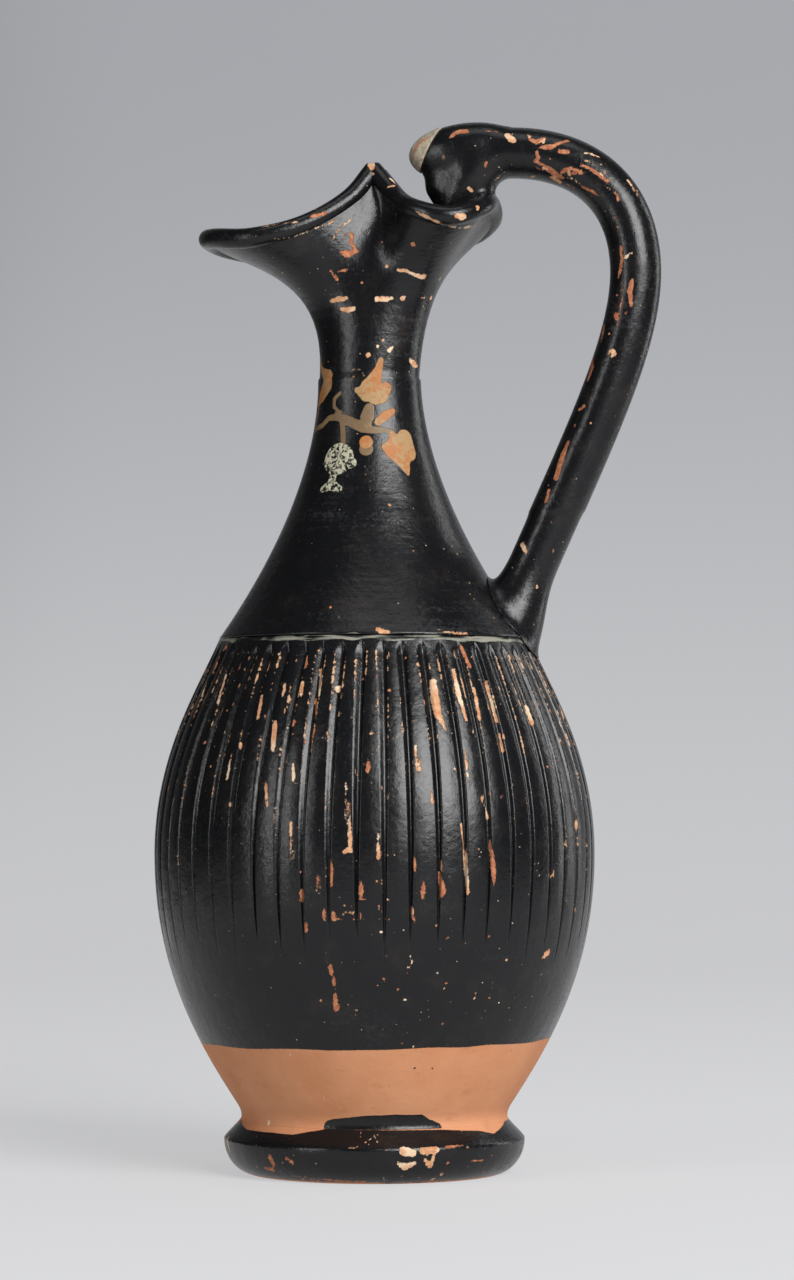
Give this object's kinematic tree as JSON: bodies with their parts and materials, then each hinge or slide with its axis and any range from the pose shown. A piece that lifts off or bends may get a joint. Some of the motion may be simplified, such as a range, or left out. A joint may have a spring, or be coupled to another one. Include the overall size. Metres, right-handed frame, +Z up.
{
  "type": "oinochoe",
  "caption": "Ribbed clay wine jug with a tall neck, a trefoil mouth with a rolled lip, a high-swung handle and a ring foot.",
  "frame": {"origin": "middle of the bounding box, on the surface that the foot stands on", "axes": "+Z up, +X from the spout towards the handle, +Y completes the right-handed frame; XZ is the plane of symmetry"},
  "size_m": [0.1358, 0.1176, 0.2802],
  "materials": {
    "black_slip": "semi-gloss black slip, chipped and worn to orange and cream clay, with a reserved orange band above the foot",
    "pale_clay": "matt pale clay"
  },
  "bodies": {
    "root": {"foot": "black_slip", "body": "black_slip", "neck": "black_slip", "handle": "black_slip", "handle_cap": "pale_clay"}
  },
  "joints": []
}
